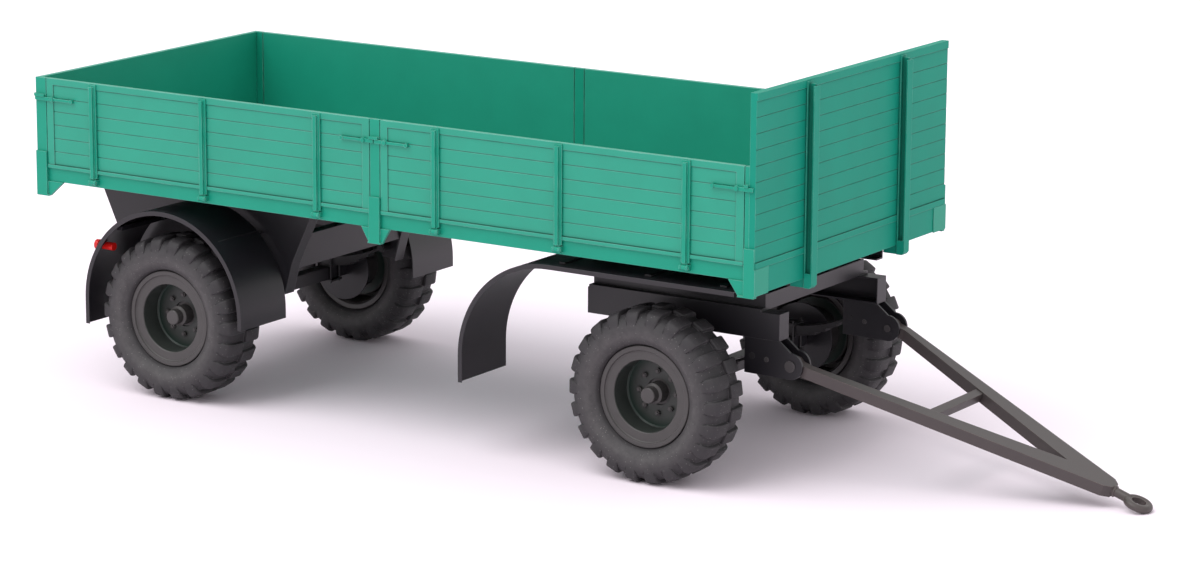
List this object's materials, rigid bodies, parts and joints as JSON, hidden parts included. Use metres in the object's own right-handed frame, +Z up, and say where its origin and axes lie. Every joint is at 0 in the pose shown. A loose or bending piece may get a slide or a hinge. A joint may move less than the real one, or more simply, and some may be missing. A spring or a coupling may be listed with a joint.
{
  "type": "drop-side farm trailer",
  "caption": "Two-axle drop-side farm trailer with planked boards, a tall headboard, a turntable front axle, half-round mudguards and an A-shaped drawbar with a towing eye.",
  "frame": {"origin": "on the ground under the middle of the whole length and width", "axes": "+X along the trailer towards the drawbar, +Y to its left, +Z up"},
  "size_m": [6.8922, 2.194, 2.2555],
  "materials": {
    "green_boards": "satin green paint",
    "green_steel": "satin green paint",
    "floor_planks": "matt green paint",
    "chassis_black": "satin black paint",
    "mudguard_black": "satin black paint",
    "spring_steel": "matt black paint",
    "tyre_rubber": "matt, dusty",
    "rim_paint": "satin grey-black paint",
    "hub_paint": "satin grey-black paint",
    "drawbar_steel": "worn satin dark paint",
    "forged_eye": "worn forged steel",
    "pin_steel": "dark oiled steel",
    "red_lens": "glossy red"
  },
  "bodies": {
    "trailer": {"load_floor": "floor_planks", "side_rails": "green_steel", "cross_members": "chassis_black", "main_beams": "chassis_black", "headboard": "green_boards", "headboard_ribs": "green_steel", "corner_posts": "green_steel", "middle_posts": "green_steel", "post_pockets": "green_steel", "hinge_brackets": "green_steel", "rear_hangers": "chassis_black", "rear_springs": "spring_steel", "rear_axle": "chassis_black", "rear_mudguards": "mudguard_black", "front_mudguards": "mudguard_black", "rear_lamps": "red_lens", "upper_ring": "chassis_black", "king_pin": "pin_steel"},
    "front_bogie": {"lower_ring": "chassis_black", "bogie_frame": "chassis_black", "front_springs": "spring_steel", "front_axle": "chassis_black", "drawbar_lugs": "chassis_black", "drawbar_pins": "pin_steel"},
    "drawbar": {"drawbar_arms": "drawbar_steel", "drawbar_brace": "drawbar_steel", "tow_eye": "forged_eye"},
    "wheel_front_right": {"tyre_front_right": "tyre_rubber", "rim_front_right": "rim_paint", "hub_front_right": "hub_paint"},
    "wheel_front_left": {"tyre_front_left": "tyre_rubber", "rim_front_left": "rim_paint", "hub_front_left": "hub_paint"},
    "wheel_rear_right": {"tyre_rear_right": "tyre_rubber", "rim_rear_right": "rim_paint", "hub_rear_right": "hub_paint"},
    "wheel_rear_left": {"tyre_rear_left": "tyre_rubber", "rim_rear_left": "rim_paint", "hub_rear_left": "hub_paint"},
    "side_front_right": {"board_front_right": "green_boards", "straps_front_right": "green_steel"},
    "side_front_left": {"board_front_left": "green_boards", "straps_front_left": "green_steel"},
    "side_rear_right": {"board_rear_right": "green_boards", "straps_rear_right": "green_steel"},
    "side_rear_left": {"board_rear_left": "green_boards", "straps_rear_left": "green_steel"},
    "rear_board": {"tailgate": "green_boards", "tailgate_straps": "green_steel"},
    "latch_front_right": {"lever_front_right": "green_steel"},
    "latch_front_left": {"lever_front_left": "green_steel"},
    "latch_fore_mid_right": {"lever_fore_mid_right": "green_steel"},
    "latch_fore_mid_left": {"lever_fore_mid_left": "green_steel"},
    "latch_aft_mid_right": {"lever_aft_mid_right": "green_steel"},
    "latch_aft_mid_left": {"lever_aft_mid_left": "green_steel"},
    "latch_rear_right": {"lever_rear_right": "green_steel"},
    "latch_rear_left": {"lever_rear_left": "green_steel"},
    "latch_tail_right": {"lever_tail_right": "green_steel"},
    "latch_tail_left": {"lever_tail_left": "green_steel"}
  },
  "joints": [
    {"name": "steering", "type": "hinge", "parent": "trailer", "child": "front_bogie", "pos_m": [0.86739, 0, 0.962], "axis": [0, 0, 1], "range_deg": [-40, 40]},
    {"name": "drawbar_lift", "type": "hinge", "parent": "front_bogie", "child": "drawbar", "pos_m": [1.54039, 0, 0.669], "axis": [0, -1, 0], "range_deg": [0, 30]},
    {"name": "roll_front_right", "type": "hinge", "parent": "front_bogie", "child": "wheel_front_right", "pos_m": [0.86739, -0.907, 0.491], "axis": [0, 1, 0], "continuous": true},
    {"name": "roll_front_left", "type": "hinge", "parent": "front_bogie", "child": "wheel_front_left", "pos_m": [0.86739, 0.907, 0.491], "axis": [0, 1, 0], "continuous": true},
    {"name": "roll_rear_right", "type": "hinge", "parent": "trailer", "child": "wheel_rear_right", "pos_m": [-2.46361, -0.907, 0.491], "axis": [0, 1, 0], "continuous": true},
    {"name": "roll_rear_left", "type": "hinge", "parent": "trailer", "child": "wheel_rear_left", "pos_m": [-2.46361, 0.907, 0.491], "axis": [0, 1, 0], "continuous": true},
    {"name": "drop_front_right", "type": "hinge", "parent": "trailer", "child": "side_front_right", "pos_m": [0.33339, -1.08, 1.262], "axis": [1, 0, 0], "range_deg": [0, 165]},
    {"name": "drop_front_left", "type": "hinge", "parent": "trailer", "child": "side_front_left", "pos_m": [0.33339, 1.08, 1.262], "axis": [-1, 0, 0], "range_deg": [0, 165]},
    {"name": "drop_rear_right", "type": "hinge", "parent": "trailer", "child": "side_rear_right", "pos_m": [-2.16661, -1.08, 1.262], "axis": [1, 0, 0], "range_deg": [0, 165]},
    {"name": "drop_rear_left", "type": "hinge", "parent": "trailer", "child": "side_rear_left", "pos_m": [-2.16661, 1.08, 1.262], "axis": [-1, 0, 0], "range_deg": [0, 165]},
    {"name": "drop_tailgate", "type": "hinge", "parent": "trailer", "child": "rear_board", "pos_m": [-3.42911, 0, 1.262], "axis": [0, -1, 0], "range_deg": [0, 165]},
    {"name": "turn_front_right", "type": "hinge", "parent": "side_front_right", "child": "latch_front_right", "pos_m": [1.46839, -1.0745, 1.732], "axis": [0, 1, 0], "range_deg": [0, 90]},
    {"name": "turn_front_left", "type": "hinge", "parent": "side_front_left", "child": "latch_front_left", "pos_m": [1.46839, 1.0745, 1.732], "axis": [0, 1, 0], "range_deg": [0, 90]},
    {"name": "turn_fore_mid_right", "type": "hinge", "parent": "side_front_right", "child": "latch_fore_mid_right", "pos_m": [-0.84161, -1.0745, 1.732], "axis": [0, -1, 0], "range_deg": [0, 90]},
    {"name": "turn_fore_mid_left", "type": "hinge", "parent": "side_front_left", "child": "latch_fore_mid_left", "pos_m": [-0.84161, 1.0745, 1.732], "axis": [0, -1, 0], "range_deg": [0, 90]},
    {"name": "turn_aft_mid_right", "type": "hinge", "parent": "side_rear_right", "child": "latch_aft_mid_right", "pos_m": [-0.99161, -1.0745, 1.732], "axis": [0, 1, 0], "range_deg": [0, 90]},
    {"name": "turn_aft_mid_left", "type": "hinge", "parent": "side_rear_left", "child": "latch_aft_mid_left", "pos_m": [-0.99161, 1.0745, 1.732], "axis": [0, 1, 0], "range_deg": [0, 90]},
    {"name": "turn_rear_right", "type": "hinge", "parent": "side_rear_right", "child": "latch_rear_right", "pos_m": [-3.28661, -1.0745, 1.732], "axis": [0, -1, 0], "range_deg": [0, 90]},
    {"name": "turn_rear_left", "type": "hinge", "parent": "side_rear_left", "child": "latch_rear_left", "pos_m": [-3.28661, 1.0745, 1.732], "axis": [0, -1, 0], "range_deg": [0, 90]},
    {"name": "turn_tail_right", "type": "hinge", "parent": "rear_board", "child": "latch_tail_right", "pos_m": [-3.42361, -0.9755, 1.732], "axis": [1, 0, 0], "range_deg": [0, 90]},
    {"name": "turn_tail_left", "type": "hinge", "parent": "rear_board", "child": "latch_tail_left", "pos_m": [-3.42361, 0.9755, 1.732], "axis": [-1, 0, 0], "range_deg": [0, 90]}
  ]
}
